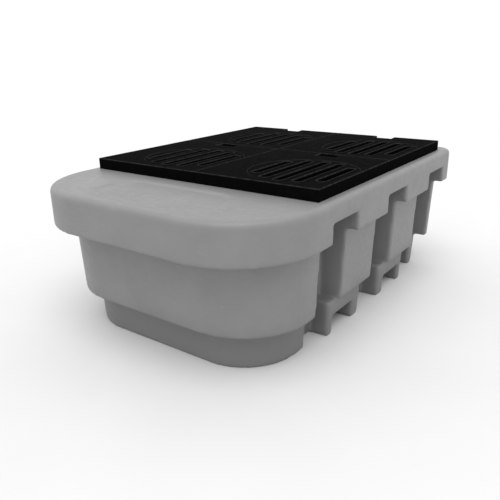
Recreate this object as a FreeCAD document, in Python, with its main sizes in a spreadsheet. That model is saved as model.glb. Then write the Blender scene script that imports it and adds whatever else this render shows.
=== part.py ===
"""Spill containment pallet: a hollow sump tub, four lift-off deck panels and the columns under them.

Millimetres, +Z up. The origin is on the floor under the middle of the bounding box, X runs across
the width and Y along the length, with the dispensing shelf at the -Y end.
"""
import FreeCAD
import Part
import Sketcher
import math
import os

doc = FreeCAD.newDocument("spill_containment_pallet")
V = FreeCAD.Vector

# ---------------------------------------------------------------- driving dimensions
DIMENSIONS = [
    # overall form of the tub
    ("overall_length", 2020), ("overall_width", 1400), ("rim_top", 705), ("rim_bottom", 525),
    ("body_bottom", 178), ("wall", 10), ("rim_fillet", 24),
    ("rim_near_radius", 395), ("rim_far_radius", 90),
    # the body steps in from the rim, and the base steps in from the body
    ("body_side_step", 57), ("body_near_step", 102), ("body_far_step", 62),
    ("body_near_radius", 345), ("body_far_radius", 80), ("body_draft", 2.5),
    ("base_half_width", 565), ("base_near_step", 179), ("base_far_step", 122),
    ("base_near_radius", 280), ("base_far_radius", 70), ("base_draft", 3), ("block_radius", 20),
    # side channels, measured along the length from the deck's near edge
    ("core_half_width", 510), ("core_near_inset", 220), ("core_far_inset", 40), ("channel_top", 613),
    ("channel_start", 43), ("channel_width", 229), ("channel_pitch", 560),
    # base blocks beside the channels
    ("near_block_end", 78), ("foot_half_width", 605), ("foot_start", 201), ("foot_length", 340),
    ("foot_pitch", 557), ("far_block_start", 1312),
    # fork pockets through the feet
    ("fork_start", 257), ("fork_width", 200), ("fork_height", 96), ("fork_pitch", 586),
    # deck, and the opening under it
    ("shelf_length", 465), ("deck_length", 1410), ("deck_width", 1300), ("deck_thick", 55),
    ("panel_gap", 4), ("deck_ledge", 52), ("clearance", 0.3),
    # deck panel details
    ("plate_thick", 14), ("skirt", 12), ("rib_thick", 8), ("rib_depth", 30),
    ("lip_depth", 26), ("lip_thick", 10), ("lip_play", 5), ("lip_end_gap", 90),
    ("notch_width", 112), ("notch_depth", 60),
    ("slot_width", 40), ("slot_pitch", 84), ("slot_circle", 228),
    ("slot_side_inset", 238), ("slot_end_inset", 283),
    # dispensing dish in the shelf
    ("dish_half_width", 330), ("dish_near_inset", 110), ("dish_length", 270), ("dish_depth", 7),
    ("dish_radius", 110),
    # deck support columns and the rings that locate their feet
    ("column_radius", 76), ("column_wall", 10), ("column_cap", 14), ("column_side", 325),
    ("column_pitch", 543), ("flow_notch_width", 40), ("flow_notch_height", 30),
    ("ring_play", 2), ("ring_wall", 7), ("ring_height", 16),
]

sheet = doc.addObject("Spreadsheet::Sheet", "d")
for row, (alias, value) in enumerate(DIMENSIONS, start=1):
    sheet.set("A%d" % row, alias)
    sheet.set("B%d" % row, str(value))
    sheet.setAlias("B%d" % row, alias)
doc.recompute()

# places along the length, as expressions
NEAR = "(-d.overall_length / 2)"
FAR = "(d.overall_length / 2)"
DECK_NEAR = "(d.shelf_length - d.overall_length / 2)"
DECK_MIDDLE = "(d.shelf_length - d.overall_length / 2 + d.deck_length / 2)"
PAST_SIDE = "(d.overall_width / 2 + 50)"
SLOTS_PER_PANEL = 5
CROSS_RIBS = 4


def value_of(expression):
    """The number that an expression of driving dimensions gives."""
    return float(sheet.evalExpression(expression))


# ---------------------------------------------------------------- sketch and feature helpers
def new_body(name):
    """A PartDesign body whose label is its node name."""
    body = doc.addObject("PartDesign::Body", name)
    body.Label = name
    return body


def new_sketch(body, name, height, role="XY_Plane"):
    """A sketch on one of the body's own origin planes, moved off it by an expression."""
    sketch = body.newObject("Sketcher::SketchObject", name)
    plane = [f for f in body.Origin.OriginFeatures if f.Role == role][0]
    sketch.AttachmentSupport = [(plane, "")]
    sketch.MapMode = "FlatFace"
    sketch.setExpression("AttachmentOffset.Base.z", height)
    return sketch


def bind(sketch, kind, args, expression):
    """A sketch constraint whose value follows the sheet."""
    index = sketch.addConstraint(Sketcher.Constraint(kind, *args, value_of(expression)))
    sketch.setExpression("Constraints[%d]" % index, expression)


def add_line(sketch, x0, y0, x1, y1):
    return sketch.addGeometry(Part.LineSegment(V(x0, y0, 0), V(x1, y1, 0)), False)


def add_arc(sketch, cx, cy, radius, start, end):
    circle = Part.Circle(V(cx, cy, 0), V(0, 0, 1), radius)
    return sketch.addGeometry(Part.ArcOfCircle(circle, start, end), False)


def close_loop(sketch, loop, kind):
    """Join each piece's end to the next one's start, touching or tangent."""
    for a, b in zip(loop, loop[1:] + loop[:1]):
        sketch.addConstraint(Sketcher.Constraint(kind, a, 2, b, 1))


def draw_outline(sketch, half_width, near, far, near_radius, far_radius):
    """A rectangle with round corners, even about the Y axis, with one radius at each end."""
    w, y0, y1 = value_of(half_width), value_of(near), value_of(far)
    rn, rf = value_of(near_radius), value_of(far_radius)
    near_line = add_line(sketch, -w + rn, y0, w - rn, y0)
    near_right = add_arc(sketch, w - rn, y0 + rn, rn, -math.pi / 2, 0)
    right = add_line(sketch, w, y0 + rn, w, y1 - rf)
    far_right = add_arc(sketch, w - rf, y1 - rf, rf, 0, math.pi / 2)
    far_line = add_line(sketch, w - rf, y1, -w + rf, y1)
    far_left = add_arc(sketch, -w + rf, y1 - rf, rf, math.pi / 2, math.pi)
    left = add_line(sketch, -w, y1 - rf, -w, y0 + rn)
    near_left = add_arc(sketch, -w + rn, y0 + rn, rn, math.pi, 1.5 * math.pi)
    close_loop(sketch, [near_line, near_right, right, far_right, far_line, far_left, left, near_left],
               "Tangent")
    sketch.addConstraint([
        Sketcher.Constraint("Symmetric", near_line, 1, near_line, 2, -2),
        Sketcher.Constraint("Horizontal", far_line),
        Sketcher.Constraint("Vertical", right),
        Sketcher.Constraint("Vertical", left),
        Sketcher.Constraint("Equal", near_right, near_left),
        Sketcher.Constraint("Equal", far_right, far_left),
    ])
    bind(sketch, "Radius", (near_right,), near_radius)
    bind(sketch, "Radius", (far_right,), far_radius)
    bind(sketch, "DistanceX", (-1, 1, right, 1), half_width)
    bind(sketch, "DistanceY", (-1, 1, near_line, 1), near)
    bind(sketch, "DistanceY", (-1, 1, far_line, 1), far)


def draw_rectangle(sketch, x0, y0, x1, y1):
    """A rectangle between two corners, each given as expressions."""
    left, low, right, high = value_of(x0), value_of(y0), value_of(x1), value_of(y1)
    bottom = add_line(sketch, left, low, right, low)
    side = add_line(sketch, right, low, right, high)
    top = add_line(sketch, right, high, left, high)
    back = add_line(sketch, left, high, left, low)
    close_loop(sketch, [bottom, side, top, back], "Coincident")
    sketch.addConstraint([
        Sketcher.Constraint("Horizontal", bottom), Sketcher.Constraint("Horizontal", top),
        Sketcher.Constraint("Vertical", side), Sketcher.Constraint("Vertical", back),
    ])
    bind(sketch, "DistanceX", (-1, 1, bottom, 1), x0)
    bind(sketch, "DistanceY", (-1, 1, bottom, 1), y0)
    bind(sketch, "DistanceX", (-1, 1, top, 1), x1)
    bind(sketch, "DistanceY", (-1, 1, top, 1), y1)


def draw_slot(sketch, x, low, high, radius):
    """A slot along Y with round ends, between its two end centres."""
    cx, y0, y1, r = value_of(x), value_of(low), value_of(high), value_of(radius)
    right = add_line(sketch, cx + r, y0, cx + r, y1)
    top = add_arc(sketch, cx, y1, r, 0, math.pi)
    left = add_line(sketch, cx - r, y1, cx - r, y0)
    bottom = add_arc(sketch, cx, y0, r, math.pi, 2 * math.pi)
    close_loop(sketch, [right, top, left, bottom], "Tangent")
    sketch.addConstraint([Sketcher.Constraint("Vertical", right), Sketcher.Constraint("Vertical", left)])
    bind(sketch, "Radius", (top,), radius)
    bind(sketch, "DistanceX", (-1, 1, top, 3), x)
    bind(sketch, "DistanceY", (-1, 1, top, 3), high)
    bind(sketch, "DistanceY", (-1, 1, bottom, 3), low)


def draw_circle(sketch, radius):
    """A circle about the sketch's origin."""
    circle = sketch.addGeometry(Part.Circle(V(0, 0, 0), V(0, 0, 1), value_of(radius)), False)
    sketch.addConstraint(Sketcher.Constraint("Coincident", circle, 3, -1, 1))
    bind(sketch, "Radius", (circle,), radius)


def pad(body, sketch, length, down=False, draft=None):
    """A pad up or down from its sketch. A draft narrows it away from the sketch."""
    feature = body.newObject("PartDesign::Pad", sketch.Name + "_pad")
    feature.Profile = sketch
    feature.Reversed = down
    feature.setExpression("Length", length)
    if draft:
        feature.setExpression("TaperAngle", "-" + draft)
    doc.recompute()
    return feature


def pocket(body, sketch, depth, up=False):
    """A pocket down from its sketch, or up into the solid. It must take material away."""
    before = body.Shape.Volume
    feature = body.newObject("PartDesign::Pocket", sketch.Name + "_pocket")
    feature.Profile = sketch
    feature.Reversed = up
    feature.setExpression("Length", depth)
    doc.recompute()
    if not feature.Shape.Volume < before - 1.0:
        raise RuntimeError(sketch.Name + " cuts nothing")
    return feature


def box(name, low, high):
    """A box between two corners, each given as three expressions."""
    solid = doc.addObject("Part::Box", name)
    for side, lo, hi in zip(("Length", "Width", "Height"), low, high):
        solid.setExpression(side, "%s - %s" % (hi, lo))
    for axis, lo in zip("xyz", low):
        solid.setExpression("Placement.Base." + axis, lo)
    return solid


def cylinder(name, radius, height, x, y, z):
    """An upright cylinder, its sizes and foot given as expressions."""
    solid = doc.addObject("Part::Cylinder", name)
    solid.setExpression("Radius", radius)
    solid.setExpression("Height", height)
    for axis, place in zip("xyz", (x, y, z)):
        solid.setExpression("Placement.Base." + axis, place)
    return solid


def fuse(name, shapes):
    out = doc.addObject("Part::MultiFuse", name)
    out.Shapes = shapes
    return out


def cut(name, base, tool):
    out = doc.addObject("Part::Cut", name)
    out.Base = base
    out.Tool = tool
    return out


# ---------------------------------------------------------------- the sump tub
def tub_form(name, inset):
    """The tub's solid form, or with an inset the form of the space that its wall encloses."""
    body = new_body(name)
    t = inset

    def block(part, top, height, half_width, near, far, near_radius, far_radius, draft=None):
        sketch = new_sketch(body, "%s_%s" % (name, part), top)
        draw_outline(sketch, half_width, near, far, near_radius, far_radius)
        return pad(body, sketch, height, down=True, draft=draft)

    rim = block("rim", "d.rim_top - " + t, "d.rim_top - d.rim_bottom - 2 * " + t,
                "d.overall_width / 2 - " + t, NEAR + " + " + t, FAR + " - " + t,
                "d.rim_near_radius - " + t, "d.rim_far_radius - " + t)
    if value_of(t) == 0:
        fillet = body.newObject("PartDesign::Fillet", name + "_rim_fillet")
        top_edges = ["Edge%d" % i for i, edge in enumerate(rim.Shape.Edges, start=1)
                     if min(v.Z for v in edge.Vertexes) > value_of("d.rim_top") - 1]
        fillet.Base = (rim, top_edges)
        fillet.setExpression("Radius", "d.rim_fillet")
        doc.recompute()
    block("body", "d.rim_bottom + " + t, "d.rim_bottom - d.body_bottom",
          "d.overall_width / 2 - d.body_side_step - " + t,
          NEAR + " + d.body_near_step + " + t, FAR + " - d.body_far_step - " + t,
          "d.body_near_radius - " + t, "d.body_far_radius - " + t, "d.body_draft")

    def base_block(part, half_width, near, far, near_radius, far_radius):
        block(part, "d.body_bottom + " + t, "d.body_bottom", half_width + " - " + t,
              near + " + " + t, far + " - " + t, near_radius + " - " + t, far_radius + " - " + t,
              "d.base_draft")

    corner = "d.block_radius"
    base_near, base_far = NEAR + " + d.base_near_step", FAR + " - d.base_far_step"
    base_block("near_block", "d.base_half_width", base_near, DECK_NEAR + " + d.near_block_end",
               "d.base_near_radius", corner)
    base_block("far_block", "d.base_half_width", DECK_NEAR + " + d.far_block_start", base_far,
               corner, "d.base_far_radius")
    base_block("core", "d.core_half_width", base_near + " + d.core_near_inset",
               base_far + " - d.core_far_inset", corner, corner)
    for i in range(2):
        start = DECK_NEAR + " + d.foot_start + %d * d.foot_pitch" % i
        base_block("foot_%d" % (i + 1), "d.foot_half_width", start, start + " + d.foot_length",
                   corner, corner)
    return body


def side_channels(name, inset):
    """The six channels down the sides, cut through the rim's lower half, grown by the inset."""
    boxes = []
    for i in range(3):
        start = DECK_NEAR + " + d.channel_start + %d * d.channel_pitch" % i
        y0, y1 = "(%s - %s)" % (start, inset), "(%s + d.channel_width + %s)" % (start, inset)
        inner, z0 = "(d.core_half_width - %s)" % inset, "(d.body_bottom - %s)" % inset
        z1 = "(d.channel_top + %s)" % inset
        boxes.append(box("%s_right_%d" % (name, i + 1), (inner, y0, z0), (PAST_SIDE, y1, z1)))
        boxes.append(box("%s_left_%d" % (name, i + 1), ("(-%s)" % PAST_SIDE, y0, z0),
                         ("(-%s)" % inner, y1, z1)))
    return boxes


def fork_pockets(name, inset):
    """The two pockets right through the feet, side to side, grown by the inset."""
    boxes = []
    for i in range(2):
        start = DECK_NEAR + " + d.fork_start + %d * d.fork_pitch" % i
        y0, y1 = "(%s - %s)" % (start, inset), "(%s + d.fork_width + %s)" % (start, inset)
        boxes.append(box("%s_%d" % (name, i + 1), ("(-%s)" % PAST_SIDE, y0, "(-10)"),
                         (PAST_SIDE, y1, "(d.fork_height + %s)" % inset)))
    return boxes


def dish(name, margin, top, depth):
    """The round-cornered form of the dispensing dish, or of the floor under it."""
    body = new_body(name)
    sketch = new_sketch(body, name + "_outline", top)
    near = NEAR + " + d.dish_near_inset"
    draw_outline(sketch, "d.dish_half_width + " + margin, near + " - " + margin,
                 near + " + d.dish_length + " + margin, "d.dish_radius + " + margin,
                 "d.dish_radius + " + margin)
    pad(body, sketch, depth, down=True)
    return body


def column_places():
    """Each column's number and its X and Y as expressions: a 3 by 3 grid under the deck."""
    places = []
    for row in (-1, 0, 1):
        for side in (-1, 0, 1):
            places.append(("%d * d.column_side" % side,
                           DECK_MIDDLE + " + %d * d.column_pitch" % row))
    return list(enumerate(places, start=1))


def column_rings():
    """Low rings moulded on the sump's floor, one round the foot of each column."""
    rings = []
    for number, (x, y) in column_places():
        inner = "d.column_radius + d.ring_play"
        outside = cylinder("ring_outside_%d" % number, inner + " + d.ring_wall",
                           "d.ring_height + d.wall / 2", x, y, "d.wall / 2")
        inside = cylinder("ring_inside_%d" % number, inner, "d.ring_height + d.wall / 2 + 1",
                          x, y, "d.wall / 2")
        rings.append(cut("ring_%d" % number, outside, inside))
    return rings


def sump_tub():
    """One hollow moulding: the outer form less the space inside, open under the deck."""
    outside = cut("tub_outside", tub_form("outer_form", "0"),
                  fuse("outer_cuts", side_channels("channel", "0") + fork_pockets("fork", "0")))
    inside = cut("tub_inside", tub_form("inner_form", "d.wall"),
                 fuse("inner_cuts", side_channels("channel_wall", "d.wall")
                      + fork_pockets("fork_wall", "d.wall")))
    shell = cut("tub_shell", outside, inside)
    dish_floor = dish("dish_floor", "d.wall", "d.rim_top - d.wall / 2", "d.wall / 2 + d.dish_depth")
    filled = fuse("tub_filled", [shell, dish_floor] + column_rings())
    ledge = "d.deck_ledge"
    half = "(d.deck_width / 2 - %s)" % ledge
    opening = box("deck_opening", ("(-%s)" % half, "(%s + %s)" % (DECK_NEAR, ledge),
                                   "(d.rim_top - 2 * d.wall)"),
                  (half, "(%s + d.deck_length - %s)" % (DECK_NEAR, ledge), "(d.rim_top + 10)"))
    hollows = fuse("top_hollows", [opening, dish("dish_hollow", "0", "d.rim_top + 5",
                                                 "d.dish_depth + 5")])
    tub = cut("sump_tub", filled, hollows)
    tub.Label = "sump_tub"
    doc.recompute()
    return tub


# ---------------------------------------------------------------- deck panels
def deck_panel(name, side, end):
    """One quarter of the deck: slotted plate, skirt, ribs, hand notch and locating lips.

    side is -1 on the left and 1 on the right, end is -1 near the shelf and 1 at the far end. The
    panels are one pattern, and differ only in which edges carry the lips.
    """
    body = new_body(name)
    half_x, half_y = "(d.deck_width - d.panel_gap) / 4", "(d.deck_length - d.panel_gap) / 4"

    sketch = new_sketch(body, name + "_outline", "0")
    draw_rectangle(sketch, "-" + half_x, "-" + half_y, half_x, half_y)
    pad(body, sketch, "d.deck_thick")

    sketch = new_sketch(body, name + "_underside", "0")
    draw_rectangle(sketch, "-(%s - d.skirt)" % half_x, "-(%s - d.skirt)" % half_y,
                   half_x + " - d.skirt", half_y + " - d.skirt")
    pocket(body, sketch, "d.deck_thick - d.plate_thick", up=True)

    centre_x = "(%s - d.slot_side_inset)" % half_x
    centre_y = "(d.slot_end_inset - %s)" % half_y
    offsets = [i - (SLOTS_PER_PANEL - 1) / 2 for i in range(SLOTS_PER_PANEL)]

    # ribs run lengthwise between the slots, and across the whole panel
    sketch = new_sketch(body, name + "_ribs", "d.deck_thick - d.plate_thick - d.rib_depth")
    reach = "(%s - d.skirt / 2)" % half_y
    for offset in [offsets[0] - 0.5] + [o + 0.5 for o in offsets]:
        rib_x = "%s + %s * d.slot_pitch" % (centre_x, offset)
        draw_rectangle(sketch, rib_x + " - d.rib_thick / 2", "-" + reach,
                       rib_x + " + d.rib_thick / 2", reach)
    pad(body, sketch, "d.rib_depth + d.plate_thick / 2")
    sketch = new_sketch(body, name + "_cross_ribs", "d.deck_thick - d.plate_thick - d.rib_depth")
    reach = "(%s - d.skirt / 2)" % half_x
    for i in range(CROSS_RIBS):
        rib_y = "%s * (2 * %d / %d - 1)" % (half_y, i + 1, CROSS_RIBS + 1)
        draw_rectangle(sketch, "-" + reach, rib_y + " - d.rib_thick / 2",
                       reach, rib_y + " + d.rib_thick / 2")
    pad(body, sketch, "d.rib_depth + d.plate_thick / 2")

    sketch = new_sketch(body, name + "_notch", "d.deck_thick + 1")
    draw_rectangle(sketch, "-d.notch_width / 2", half_y + " - d.notch_depth",
                   "d.notch_width / 2", half_y + " + 5")
    pocket(body, sketch, "d.deck_thick + 2")

    # lips drop from the plate to inside the tub's opening along the panel's two outer edges
    sketch = new_sketch(body, name + "_side_lip", "d.deck_thick - d.plate_thick / 2")
    inset = "(d.deck_ledge + d.lip_play + d.lip_thick)"
    side_in, side_out = half_x + " - " + inset, half_x + " - %s + d.lip_thick" % inset
    end_in, end_out = half_y + " - " + inset, half_y + " - %s + d.lip_thick" % inset
    x_edges = (side_in, side_out) if side > 0 else ("-(%s)" % side_out, "-(%s)" % side_in)
    y_edges = (end_in, end_out) if end > 0 else ("-(%s)" % end_out, "-(%s)" % end_in)
    draw_rectangle(sketch, x_edges[0], "-(%s - d.lip_end_gap)" % half_y,
                   x_edges[1], half_y + " - d.lip_end_gap")
    pad(body, sketch, "d.deck_thick - d.plate_thick / 2 + d.lip_depth", down=True)
    sketch = new_sketch(body, name + "_end_lip", "d.deck_thick - d.plate_thick / 2")
    draw_rectangle(sketch, "-(%s - d.lip_end_gap)" % half_x, y_edges[0],
                   half_x + " - d.lip_end_gap", y_edges[1])
    pad(body, sketch, "d.deck_thick - d.plate_thick / 2 + d.lip_depth", down=True)

    # the slots run right through, past the cross ribs and the side lip, and their round ends
    # follow a circle, as under a drum
    sketch = new_sketch(body, name + "_slots", "d.deck_thick + 1")
    for offset in offsets:
        reach = "(sqrt(d.slot_circle ^ 2 - (%s * d.slot_pitch) ^ 2) - d.slot_width / 2)" % offset
        draw_slot(sketch, "%s + %s * d.slot_pitch" % (centre_x, offset),
                  "%s - %s" % (centre_y, reach), "%s + %s" % (centre_y, reach), "d.slot_width / 2")
    pocket(body, sketch, "d.deck_thick + d.lip_depth + 2")

    body.setExpression("Placement.Base.x", "%d * (d.deck_width + d.panel_gap) / 4" % side)
    body.setExpression("Placement.Base.y",
                       DECK_MIDDLE + " + %d * (d.deck_length + d.panel_gap) / 4" % end)
    body.setExpression("Placement.Base.z", "d.rim_top + d.clearance")
    return body


# ---------------------------------------------------------------- deck support columns
def support_column(number, x, y):
    """A capped tube that stands on the sump's floor, with notches at its foot for the liquid."""
    name = "support_column_%d" % number
    body = new_body(name)
    height = "(d.rim_top - d.wall)"
    sketch = new_sketch(body, name + "_outside", "0")
    draw_circle(sketch, "d.column_radius")
    pad(body, sketch, height)
    sketch = new_sketch(body, name + "_bore", "0")
    draw_circle(sketch, "d.column_radius - d.column_wall")
    pocket(body, sketch, height + " - d.column_cap", up=True)
    sketch = new_sketch(body, name + "_flow_notch", "0")
    draw_rectangle(sketch, "-d.flow_notch_width / 2", "-d.column_radius - 5",
                   "d.flow_notch_width / 2", "d.column_radius + 5")
    pocket(body, sketch, "d.flow_notch_height", up=True)
    for axis, place in zip("xyz", (x, y, "d.wall")):
        body.setExpression("Placement.Base." + axis, place)
    return body


# ---------------------------------------------------------------- build, check and write
def build_all():
    nodes = [sump_tub()]
    for end, end_name in ((-1, "near"), (1, "far")):
        for side, side_name in ((-1, "left"), (1, "right")):
            nodes.append(deck_panel("deck_panel_%s_%s" % (end_name, side_name), side, end))
    for number, (x, y) in column_places():
        nodes.append(support_column(number, x, y))
    doc.recompute()
    return nodes


def check_and_write(nodes):
    """Stop on any failed feature or bad solid, then write one file for each node."""
    failed = [o.Name for o in doc.Objects if "Invalid" in o.State or "Error" in o.State]
    if failed:
        raise RuntimeError("failed features: " + ", ".join(failed))
    for node in nodes:
        shape = node.Shape
        if shape.isNull() or not shape.isValid() or not shape.Solids:
            raise RuntimeError(node.Label + " is not a valid solid")
    os.makedirs("parts", exist_ok=True)
    for node in nodes:
        node.Shape.exportStep("parts/%s.step" % node.Label)
        bounds = node.Shape.BoundBox
        print("%-24s %d solid  %6.1f litres  x %7.1f %7.1f  y %7.1f %7.1f  z %6.1f %6.1f" % (
            node.Label, len(node.Shape.Solids), node.Shape.Volume / 1e6, bounds.XMin, bounds.XMax,
            bounds.YMin, bounds.YMax, bounds.ZMin, bounds.ZMax))


check_and_write(build_all())
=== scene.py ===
"""Looks of the spill containment pallet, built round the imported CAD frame.

Metres, +Z up, X across the width, Y along the length with the dispensing shelf at -Y.
"""

import math

import bmesh
import bpy
from mathutils import Matrix, Vector
from mathutils.geometry import delaunay_2d_cdt


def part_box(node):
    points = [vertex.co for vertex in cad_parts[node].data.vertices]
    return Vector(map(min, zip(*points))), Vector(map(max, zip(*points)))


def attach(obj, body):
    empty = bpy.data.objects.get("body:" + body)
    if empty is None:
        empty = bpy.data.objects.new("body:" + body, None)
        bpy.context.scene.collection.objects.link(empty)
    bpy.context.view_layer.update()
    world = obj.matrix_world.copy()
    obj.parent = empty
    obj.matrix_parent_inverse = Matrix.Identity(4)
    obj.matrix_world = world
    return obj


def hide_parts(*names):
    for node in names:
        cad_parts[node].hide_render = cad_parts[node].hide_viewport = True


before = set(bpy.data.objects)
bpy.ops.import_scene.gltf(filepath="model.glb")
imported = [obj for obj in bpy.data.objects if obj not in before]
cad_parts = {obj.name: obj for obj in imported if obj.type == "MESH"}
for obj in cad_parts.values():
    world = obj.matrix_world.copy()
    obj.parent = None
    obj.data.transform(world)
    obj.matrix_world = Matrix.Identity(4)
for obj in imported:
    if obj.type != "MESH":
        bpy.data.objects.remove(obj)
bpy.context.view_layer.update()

TUB = "sump_tub"
PANELS = ["deck_panel_near_left", "deck_panel_near_right", "deck_panel_far_left", "deck_panel_far_right"]
COLUMNS = sorted(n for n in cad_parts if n.startswith("support_column_"))

tub_low, tub_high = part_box(TUB)
RIM_TOP = tub_high.z
deck_low = Vector(map(min, *(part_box(n)[0] for n in PANELS)))
deck_high = Vector(map(max, *(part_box(n)[1] for n in PANELS)))
DECK_TOP = deck_high.z
DRUM_CENTRE = Vector((0.086, -0.0685))   # of a panel's drum pattern, from the panel's middle


# ---------------------------------------------------------------- small mesh helpers
def new_object(name, mesh):
    obj = bpy.data.objects.new(name, mesh)
    bpy.context.scene.collection.objects.link(obj)
    return obj


def finished_mesh(obj):
    """The object's mesh with its modifiers applied, as a new mesh."""
    graph = bpy.context.evaluated_depsgraph_get()
    graph.update()
    return bpy.data.meshes.new_from_object(obj.evaluated_get(graph))


def apply_modifiers(obj):
    mesh = finished_mesh(obj)
    obj.modifiers.clear()
    obj.data = mesh
    return obj


def smooth_shade(obj, angle=math.radians(35)):
    """Smooth shading, kept sharp where faces meet at more than the angle."""
    bm = bmesh.new()
    bm.from_mesh(obj.data)
    for face in bm.faces:
        face.smooth = True
    for edge in bm.edges:
        edge.smooth = len(edge.link_faces) == 2 and edge.calc_face_angle(0) < angle
    bm.to_mesh(obj.data)
    bm.free()


# ---------------------------------------------------------------- the tub
VOXEL = 0.0075
SOFTEN_STEPS = 9
FLAT_TOP = 0.0005       # how near to the rim's top a vertex counts as on it


def split_tub():
    """The tub's CAD mesh as two bmeshes: its outside, and its inside with the deck opening's edge."""
    whole = bmesh.new()
    whole.from_mesh(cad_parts[TUB].data)
    bmesh.ops.remove_doubles(whole, verts=whole.verts, dist=1e-5)
    whole.faces.ensure_lookup_table()

    def on_top(vert):
        return abs(vert.co.z - RIM_TOP) < FLAT_TOP

    def is_opening_edge(edge):
        """The opening's upper edge: a level top face meets an upright face under the deck."""
        if not all(on_top(v) for v in edge.verts) or len(edge.link_faces) != 2:
            return False
        ups = sorted(abs(f.normal.z) for f in edge.link_faces)
        middle = (edge.verts[0].co + edge.verts[1].co) / 2
        under_deck = deck_low.x < middle.x < deck_high.x and deck_low.y < middle.y < deck_high.y
        return under_deck and ups[0] < 0.1 and ups[1] > 0.9

    start = min(whole.faces, key=lambda f: f.calc_center_median().z)
    outside, front = {start.index}, [start]
    while front:
        face = front.pop()
        for edge in face.edges:
            if is_opening_edge(edge):
                continue
            for other in edge.link_faces:
                if other.index not in outside:
                    outside.add(other.index)
                    front.append(other)
    halves = []
    for keep_outside in (True, False):
        part = whole.copy()
        part.faces.ensure_lookup_table()
        gone = [f for f in part.faces if (f.index in outside) != keep_outside]
        bmesh.ops.delete(part, geom=gone, context="FACES")
        halves.append(part)
    whole.free()
    return halves


def opening_rectangle(inside):
    """Lowest and highest corner of the deck opening, from the inside's top edge."""
    top = [v.co for v in inside.verts if abs(v.co.z - RIM_TOP) < FLAT_TOP]
    return (min(c.x for c in top), min(c.y for c in top), max(c.x for c in top), max(c.y for c in top))


def soften(outside):
    """The closed outside, remeshed and smoothed so that every edge is round like a moulding's."""
    edges = [e for e in outside.edges if e.is_boundary]
    bmesh.ops.holes_fill(outside, edges=edges)
    bmesh.ops.triangulate(outside, faces=outside.faces)
    mesh = bpy.data.meshes.new("tub_outside")
    outside.to_mesh(mesh)
    obj = new_object("tub_outside", mesh)
    remesh = obj.modifiers.new("remesh", "REMESH")
    remesh.mode = "VOXEL"
    remesh.voxel_size = VOXEL
    smooth = obj.modifiers.new("smooth", "SMOOTH")
    smooth.factor = 0.5
    smooth.iterations = SOFTEN_STEPS
    return apply_modifiers(obj)


def cut_opening(mesh, rectangle):
    """Opens the flat top under the deck along the opening's rectangle."""
    x0, y0, x1, y1 = rectangle
    bm = bmesh.new()
    bm.from_mesh(mesh)
    margin = 4 * VOXEL

    def near_opening(face):
        c = face.calc_center_median()
        return (c.z > RIM_TOP - margin and x0 - margin < c.x < x1 + margin
                and y0 - margin < c.y < y1 + margin)

    for point, normal in (((x0, 0, 0), (1, 0, 0)), ((x1, 0, 0), (1, 0, 0)),
                          ((0, y0, 0), (0, 1, 0)), ((0, y1, 0), (0, 1, 0))):
        faces = [f for f in bm.faces if near_opening(f)]
        edges = {e for f in faces for e in f.edges}
        verts = {v for f in faces for v in f.verts}
        bmesh.ops.bisect_plane(bm, geom=faces + list(edges) + list(verts), dist=1e-6,
                               plane_co=point, plane_no=normal)
    gone = []
    for face in bm.faces:
        c = face.calc_center_median()
        if c.z > RIM_TOP - margin and x0 < c.x < x1 and y0 < c.y < y1:
            gone.append(face)
    bmesh.ops.delete(bm, geom=gone, context="FACES")
    return bm


def build_tub():
    outside, inside = split_tub()
    rectangle = opening_rectangle(inside)
    skin = soften(outside)
    bm = cut_opening(skin.data, rectangle)
    for face in inside.faces:
        face.smooth = False
    inner = bpy.data.meshes.new("tub_inside")
    inside.to_mesh(inner)
    bm.from_mesh(inner)
    bmesh.ops.recalc_face_normals(bm, faces=bm.faces)
    mesh = bpy.data.meshes.new("tub_moulding")
    bm.to_mesh(mesh)
    bpy.data.objects.remove(skin)
    tub = new_object("tub_moulding", mesh)
    smooth_shade(tub)
    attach(tub, "tub")
    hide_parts(TUB)
    return tub


# ---------------------------------------------------------------- the deck panels
EDGE_ROUND = 0.003          # rounding of the panels' outer edges and of the slots
NOTCH_ROUND = 0.009         # a hand notch's lip is scooped lower, for the fingers
LIP_FLAT = 0.006            # how far a slot's raised lip runs out before it drops
FIELD_DEPTH = 0.0035        # the slotted field lies this much under the deck's top
FIELD_RADIUS = 0.256        # the field is round, as the drum over it is
FIELD_MARGIN = 0.016        # border that stays between the field and the panel's edges
RING_RADIUS = 0.292         # fine ring where the drum's rim stands
RING_HALF_WIDTH = 0.0035
SUPPORT = 0.002             # a strip beside each rounding that keeps the flat next to it flat
ROUND_STEPS = [(0.0, 1.0), (0.16, 0.47), (0.47, 0.16), (1.0, 0.0)]     # in and down, over the radius
FIELD_POINTS = 120          # points round the field's circle

# the slopes from a slot's lip and from the panel's top down to the field: out, down, how much the edge is
# rubbed and given painted highlight
SLOPE_END = [(0.004, FIELD_DEPTH, 0.0), (0.004 + SUPPORT, FIELD_DEPTH, 0.0)]
LIP_SLOPE = [(0.0, 0.0, 0.4), (0.0012, 0.0006, 0.8), (0.0026, FIELD_DEPTH - 0.0004, 0.0)] + SLOPE_END
FIELD_SLOPE = [(0.0, 0.0, 0.5), (0.0012, 0.0006, 0.9), (0.0028, FIELD_DEPTH - 0.0004, 0.2)] + SLOPE_END


def boundary_loops(bm):
    """The open edges of a mesh as closed, ordered lists of vertices."""
    links = {}
    for edge in bm.edges:
        if edge.is_boundary:
            a, b = edge.verts
            links.setdefault(a, []).append(b)
            links.setdefault(b, []).append(a)
    loops = []
    while links:
        start = next(iter(links))
        loop, last, here = [start], None, start
        while True:
            onward = [v for v in links[here] if v is not last]
            if not onward or onward[0] is start:
                break
            last, here = here, onward[0]
            loop.append(here)
        for vert in loop:
            links.pop(vert)
        loops.append(loop)
    return loops


def signed_area(points):
    return sum(a.x * b.y - b.x * a.y for a, b in zip(points, points[1:] + points[:1])) / 2


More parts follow.
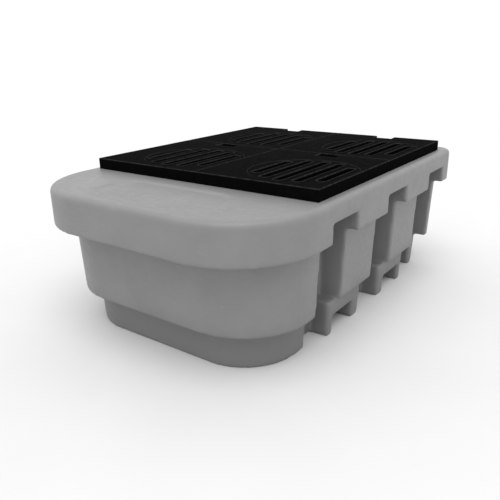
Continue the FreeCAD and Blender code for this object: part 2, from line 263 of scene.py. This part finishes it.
def inward_directions(points):
    """For a loop that runs anticlockwise, each point's mitred direction into it."""
    out = []
    for before, here, after in zip(points[-1:] + points[:-1], points, points[1:] + points[:1]):
        a, b = (here - before).xy.normalized(), (after - here).xy.normalized()
        normal_a, normal_b = Vector((-a.y, a.x)), Vector((-b.y, b.x))
        mitre = normal_a + normal_b
        out.append(mitre / max(mitre.length_squared / 2, 0.35))
    return out


def next_ring(bm, ring, points, edge_layer, mark):
    """A new ring of vertices joined to the last one by quads; mark says how much the edge is rubbed and
    given painted highlight.
    """
    new = [bm.verts.new(p) for p in points]
    for vert in new:
        vert[edge_layer] = mark
    count = len(ring)
    for i in range(count):
        j = (i + 1) % count
        bm.faces.new((ring[i], ring[j], new[j], new[i]))
    return new


def lies_within(point, outline):
    """Whether a point lies within a closed outline, by counting crossings."""
    hit = False
    for a, b in zip(outline, outline[1:] + outline[:1]):
        if (a.y > point.y) != (b.y > point.y):
            if point.x < a.x + (b.x - a.x) * (point.y - a.y) / (b.y - a.y):
                hit = not hit
    return hit


def fill_between(bm, outer, holes):
    """Triangles in the level face between an outer ring of vertices and the rings inside it."""
    verts, edges = [], []
    for ring in [outer] + holes:
        start = len(verts)
        verts += ring
        edges += [(start + i, start + (i + 1) % len(ring)) for i in range(len(ring))]
    points = [v.co.xy for v in verts]
    outline, openings = [v.co.xy for v in outer], [[v.co.xy for v in ring] for ring in holes]
    _, _, faces, origins, _, _ = delaunay_2d_cdt(points, edges, [], 0, 1e-7)
    for face in faces:
        middle = sum((points[origins[i][0]] for i in face), Vector((0, 0))) / 3
        if lies_within(middle, outline) and not any(lies_within(middle, hole) for hole in openings):
            bm.faces.new([verts[origins[i][0]] for i in face])


def field_outline(centre, low, high, radius):
    """The round field's outline, cut straight where it comes near the panel's edges."""
    points = []
    for i in range(FIELD_POINTS):
        angle = math.tau * i / FIELD_POINTS
        x = centre.x + radius * math.cos(angle)
        y = centre.y + radius * math.sin(angle)
        x = min(max(x, low.x + FIELD_MARGIN), high.x - FIELD_MARGIN)
        y = min(max(y, low.y + FIELD_MARGIN), high.y - FIELD_MARGIN)
        point = Vector((x, y, DECK_TOP))
        if not points or (point - points[-1]).length > 1e-4:
            points.append(point)
    return points


def stepped_rings(bm, ring, base, directions, steps, edge_layer):
    """Rings that step from the base points out along their directions and down; gives the last."""
    for out, down, mark in steps:
        points = [p + Vector((d.x, d.y, 0)) * out - Vector((0, 0, down)) for p, d in zip(base, directions)]
        ring = next_ring(bm, ring, points, edge_layer, mark)
    return ring


def round_outline(bm, outer, low, high, edge_layer):
    """Rounds the panel's outer edge and its notch; gives the ring where the flat top begins."""
    base = [v.co.copy() for v in outer]
    inward = inward_directions(base)
    on_border = [min(abs(p.x - low.x), abs(p.x - high.x), abs(p.y - low.y), abs(p.y - high.y)) < 1e-4
                 for p in base]
    rounding = [EDGE_ROUND if on else NOTCH_ROUND for on in on_border]
    ring = outer
    for vert, r in zip(outer, rounding):
        vert.co.z = DECK_TOP - r - SUPPORT
    # each ring's edge mark sets how much wear and painted highlight the deck's colour gets there
    for out, down in ROUND_STEPS:
        points = [p + Vector((d.x, d.y, 0)) * r * out - Vector((0, 0, r * down))
                  for p, d, r in zip(base, inward, rounding)]
        ring = next_ring(bm, ring, points, edge_layer, 1.0 if down > 0 else 0.3)
    points = [p + Vector((d.x, d.y, 0)) * (r + SUPPORT) for p, d, r in zip(base, inward, rounding)]
    return next_ring(bm, ring, points, edge_layer, 0.0)


def build_lip(bm, slot, edge_layer):
    """A slot's rounded mouth and raised lip; gives the ring where the lip meets the field."""
    base = [v.co.copy() for v in slot]
    away = [-d for d in inward_directions(base)]
    for vert in slot:
        vert.co.z = DECK_TOP - EDGE_ROUND - SUPPORT
    steps = [(EDGE_ROUND * out, EDGE_ROUND * down, 1.0 if down > 0 else 0.5) for out, down in ROUND_STEPS]
    steps += [(LIP_FLAT + out, down, mark) for out, down, mark in LIP_SLOPE]
    return stepped_rings(bm, slot, base, away, steps, edge_layer)


def build_field_edge(bm, centre, low, high, edge_layer):
    """The slope round the sunk field; gives its upper and its lower ring."""
    outline = field_outline(centre, low, high, FIELD_RADIUS)
    inward = inward_directions(outline)
    upper = [bm.verts.new(p - Vector((d.x, d.y, 0)) * SUPPORT) for p, d in zip(outline, inward)]
    return upper, stepped_rings(bm, upper, outline, inward, FIELD_SLOPE, edge_layer)


def build_panel(name):
    """A deck panel: the CAD's underside and walls under a new top with lips, field and soft edges."""
    bm = bmesh.new()
    bm.from_mesh(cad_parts[name].data)
    bmesh.ops.remove_doubles(bm, verts=bm.verts, dist=1e-5)
    edge_layer = bm.verts.layers.float.new("edge")
    top = [f for f in bm.faces if f.normal.z > 0.99 and f.calc_center_median().z > DECK_TOP - 1e-4]
    bmesh.ops.delete(bm, geom=top, context="FACES")
    loops = boundary_loops(bm)
    loops = [l if signed_area([v.co for v in l]) > 0 else l[::-1] for l in loops]
    loops.sort(key=lambda l: -abs(signed_area([v.co for v in l])))
    outer, slots = loops[0], loops[1:]
    low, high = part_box(name)
    centre = sum((sum((v.co for v in slot), Vector()) / len(slot) for slot in slots), Vector()) / len(slots)

    border = round_outline(bm, outer, low, high, edge_layer)
    lips = [build_lip(bm, slot, edge_layer) for slot in slots]
    field_top, field = build_field_edge(bm, centre, low, high, edge_layer)
    fill_between(bm, border, [field_top])
    fill_between(bm, field, lips)
    bmesh.ops.recalc_face_normals(bm, faces=bm.faces)

    mesh = bpy.data.meshes.new(name + "_moulding")
    bm.to_mesh(mesh)
    panel = new_object(name + "_moulding", mesh)
    smooth_shade(panel, math.radians(40))
    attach(panel, name)
    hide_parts(name)
    return panel


# ---------------------------------------------------------------- the support columns
def soften_column(name):
    """Rounds the edges of a support column's tube and cap."""
    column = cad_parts[name]
    bevel = column.modifiers.new("round", "BEVEL")
    bevel.width = EDGE_ROUND
    bevel.segments = 3
    bevel.limit_method = "ANGLE"
    bevel.angle_limit = math.radians(40)
    bevel.harden_normals = False
    return column


# ---------------------------------------------------------------- materials
class Nodes:
    """Short calls for building a node material."""

    def __init__(self, name):
        self.material = bpy.data.materials.new(name)
        self.material.use_nodes = True
        self.tree = self.material.node_tree
        self.shader = self.tree.nodes["Principled BSDF"]
        self.position = self.add("ShaderNodeTexCoord").outputs["Object"]

    def add(self, kind, **settings):
        node = self.tree.nodes.new(kind)
        for key, value in settings.items():
            setattr(node, key, value)
        return node

    def put(self, socket, value):
        if isinstance(value, bpy.types.NodeSocket):
            self.tree.links.new(value, socket)
        else:
            socket.default_value = value

    def axes(self):
        """The X, Y and Z of the place on the object."""
        node = self.add("ShaderNodeSeparateXYZ")
        self.put(node.inputs[0], self.position)
        return node.outputs["X"], node.outputs["Y"], node.outputs["Z"]

    def noise(self, scale, detail=3.0, rough=0.5, vector=None):
        node = self.add("ShaderNodeTexNoise")
        self.put(node.inputs["Vector"], vector or self.position)
        node.inputs["Scale"].default_value = scale
        node.inputs["Detail"].default_value = detail
        node.inputs["Roughness"].default_value = rough
        return node.outputs["Fac"]

    def stretched(self, scale):
        node = self.add("ShaderNodeMapping")
        self.put(node.inputs["Vector"], self.position)
        node.inputs["Scale"].default_value = scale
        return node.outputs["Vector"]

    def spread(self, value, low, high, to_low=0.0, to_high=1.0):
        node = self.add("ShaderNodeMapRange")
        for key, number in (("Value", value), ("From Min", low), ("From Max", high),
                            ("To Min", to_low), ("To Max", to_high)):
            self.put(node.inputs[key], number)
        return node.outputs["Result"]

    def math(self, operation, a, b):
        node = self.add("ShaderNodeMath", operation=operation)
        self.put(node.inputs[0], a)
        self.put(node.inputs[1], b)
        return node.outputs["Value"]

    def mix(self, factor, a, b):
        node = self.add("ShaderNodeMix", data_type="RGBA")
        self.put(node.inputs["Factor"], factor)
        self.put(node.inputs["A"], a)
        self.put(node.inputs["B"], b)
        return node.outputs["Result"]

    def centred(self, value, middle, size):
        """The distance from the middle of a cell, where cells of a size lie on both sides of a middle."""
        side = self.math("SUBTRACT", self.math("MULTIPLY", self.math("GREATER_THAN", value, middle), size),
                         size / 2)
        return self.math("SUBTRACT", self.math("SUBTRACT", value, middle), side)

    def bump(self, height, distance, strength=1.0, normal=None):
        node = self.add("ShaderNodeBump")
        node.inputs["Strength"].default_value = strength
        node.inputs["Distance"].default_value = distance
        self.put(node.inputs["Height"], height)
        if normal:
            self.put(node.inputs["Normal"], normal)
        return node.outputs["Normal"]

    def set(self, **inputs):
        for key, value in inputs.items():
            self.put(self.shader.inputs[key.replace("_", " ")], value)
        return self.material


def grey(value):
    return (value, value, value, 1.0)


def grey_polyethylene():
    """Rotomoulded polyethylene: satin, faintly mottled, with rubbed patches, and painted shade that darkens
    it low down.
    """
    n = Nodes("grey_polyethylene")
    mottle = n.noise(6.0, 4.0, 0.55)
    colour = n.mix(n.spread(mottle, 0.3, 0.7), grey(0.165), grey(0.182))
    scuffs = n.spread(n.noise(16.0, 6.0, 0.7, n.stretched((1.0, 0.35, 1.6))), 0.60, 0.72)
    colour = n.mix(n.math("MULTIPLY", scuffs, 0.25), colour, grey(0.25))
    # painted shade: the colour darkens towards the floor, standing in for the shade under the rim and
    # overhangs
    _, _, height = n.axes()
    uneven_height = n.math("ADD", height, n.math("MULTIPLY", mottle, 0.06))
    painted_low_shade = n.spread(uneven_height, 0.15, 0.27, 0.75, 0.0)
    colour = n.mix(painted_low_shade, colour, grey(0.12))
    rough = n.spread(n.noise(35.0, 3.0, 0.6), 0.3, 0.7, 0.42, 0.54)
    skin = n.bump(n.noise(420.0, 2.0, 0.5), 0.0006, 0.25)
    skin = n.bump(n.noise(24.0, 2.0, 0.5), 0.0012, 0.25, skin)
    return n.set(Base_Color=colour, Roughness=rough, Normal=skin)


def deck_plastic(centre):
    """Black moulded plastic: dull satin, rubbed lighter and given a painted highlight along its edges, with
    fine drum rings.
    """
    n = Nodes("black_deck")
    rub = n.spread(n.noise(28.0, 6.0, 0.7, n.stretched((1.0, 0.5, 1.0))), 0.5, 0.8)
    colour = n.mix(rub, grey(0.0026), grey(0.0044))
    # painted highlight with wear: the edges are coloured lighter to stand in for the glint that the
    # near-zero specular no longer gives them
    edge = n.add("ShaderNodeAttribute", attribute_name="edge").outputs["Fac"]
    worn_and_highlit = n.math("MULTIPLY", edge, n.spread(n.noise(45.0, 4.0, 0.6), 0.35, 0.65, 0.35, 1.0))
    colour = n.mix(worn_and_highlit, colour, grey(0.028))
    rough = n.spread(n.noise(60.0, 4.0, 0.6), 0.3, 0.7, 0.5, 0.65)
    x, y, z = n.axes()
    panel_size = (deck_high - deck_low) / 2
    middle = (deck_high + deck_low) / 2
    across = n.math("SUBTRACT", n.centred(x, middle.x, panel_size.x), centre.x)
    along = n.math("SUBTRACT", n.centred(y, middle.y, panel_size.y), centre.y)
    squares = n.math("ADD", n.math("MULTIPLY", across, across), n.math("MULTIPLY", along, along))
    from_ring = n.math("ABSOLUTE", n.math("SUBTRACT", n.math("SQRT", squares, 0.0), RING_RADIUS), 0.0)
    off_ring = n.spread(from_ring, RING_HALF_WIDTH, RING_HALF_WIDTH + 0.002)
    below_top = n.spread(z, DECK_TOP - 0.0012, DECK_TOP - 0.0006, 1.0, 0.0)
    skin = n.bump(n.math("MAXIMUM", off_ring, below_top), 0.0025, 0.9)
    skin = n.bump(n.noise(500.0, 2.0, 0.5), 0.0003, 0.2, skin)
    return n.set(Base_Color=colour, Roughness=rough, Normal=skin, Specular_IOR_Level=0.001)


def column_plastic():
    """Black pipe plastic: satin, with faint marks along its length."""
    n = Nodes("black_column")
    streaks = n.spread(n.noise(60.0, 4.0, 0.6, n.stretched((1.0, 1.0, 0.06))), 0.45, 0.75)
    colour = n.mix(streaks, grey(0.012), grey(0.022))
    rough = n.spread(n.noise(40.0, 3.0, 0.6), 0.3, 0.7, 0.4, 0.55)
    grain = n.bump(n.noise(500.0, 2.0, 0.5), 0.0004, 0.3)
    return n.set(Base_Color=colour, Roughness=rough, Normal=grain, Specular_IOR_Level=0.35)


def floor_material():
    n = Nodes("pale_floor")
    colour = n.mix(n.spread(n.noise(1.5, 3.0, 0.5), 0.3, 0.7), grey(0.58), grey(0.60))
    return n.set(Base_Color=colour, Roughness=0.8)


# ---------------------------------------------------------------- floor, light and camera
def build_floor():
    bm = bmesh.new()
    bmesh.ops.create_grid(bm, x_segments=8, y_segments=8, size=30)
    mesh = bpy.data.meshes.new("floor")
    bm.to_mesh(mesh)
    floor = new_object("floor", mesh)
    floor.location.z = -0.0005
    floor.data.materials.append(floor_material())


def sun_light(name, azimuth, elevation, strength, softness):
    """A soft, even light; azimuth 0 comes from -Y and 90 from +X."""
    light = bpy.data.lights.new(name, "SUN")
    light.energy = strength
    light.angle = math.radians(softness)
    obj = new_object(name, light)
    a, e = math.radians(azimuth), math.radians(elevation)
    source = Vector((math.sin(a) * math.cos(e), -math.cos(a) * math.cos(e), math.sin(e)))
    obj.rotation_euler = source.to_track_quat("Z", "Y").to_euler()


def build_light():
    world = bpy.data.worlds.new("studio")
    bpy.context.scene.world = world
    world.use_nodes = True
    background = world.node_tree.nodes["Background"]
    background.inputs["Color"].default_value = grey(1.0)
    background.inputs["Strength"].default_value = 1.15
    sun_light("key", 36, 68, 1.5, 50)
    sun_light("fill", -60, 78, 0.3, 80)
    sun_light("side", 50, 6, 0.2, 60)


CAMERA_PLACE = Vector((1.686, -2.424, 1.279))
CAMERA_AZIMUTH, CAMERA_ELEVATION, CAMERA_ROLL = map(math.radians, (36.2, 19.78, -1.02))
CAMERA_LENS, CAMERA_SENSOR = 40.23, 36.0


def build_camera():
    """The camera looks back along its azimuth and down by its elevation, with a slight roll."""
    a, e, r = CAMERA_AZIMUTH, CAMERA_ELEVATION, CAMERA_ROLL
    back = Vector((math.sin(a) * math.cos(e), -math.cos(a) * math.cos(e), math.sin(e)))
    level_right = (-back).cross(Vector((0, 0, 1))).normalized()
    level_up = back.cross(level_right)
    right = math.cos(r) * level_right + math.sin(r) * level_up
    up = back.cross(right)
    data = bpy.data.cameras.new("camera")
    data.lens, data.sensor_width = CAMERA_LENS, CAMERA_SENSOR
    data.clip_start, data.clip_end = 0.05, 100
    camera = new_object("camera", data)
    camera.matrix_world = Matrix.Translation(CAMERA_PLACE) @ Matrix((right, up, back)).transposed().to_4x4()
    bpy.context.scene.camera = camera


# ---------------------------------------------------------------- the scene
def paint(obj, material):
    obj.data.materials.clear()
    obj.data.materials.append(material)


build_camera()
build_floor()
build_light()
bpy.context.scene.view_settings.view_transform = "Standard"

paint(build_tub(), grey_polyethylene())
deck_black = deck_plastic(DRUM_CENTRE)
for panel in PANELS:
    paint(build_panel(panel), deck_black)
column_black = column_plastic()
for column in COLUMNS:
    paint(soften_column(column), column_black)
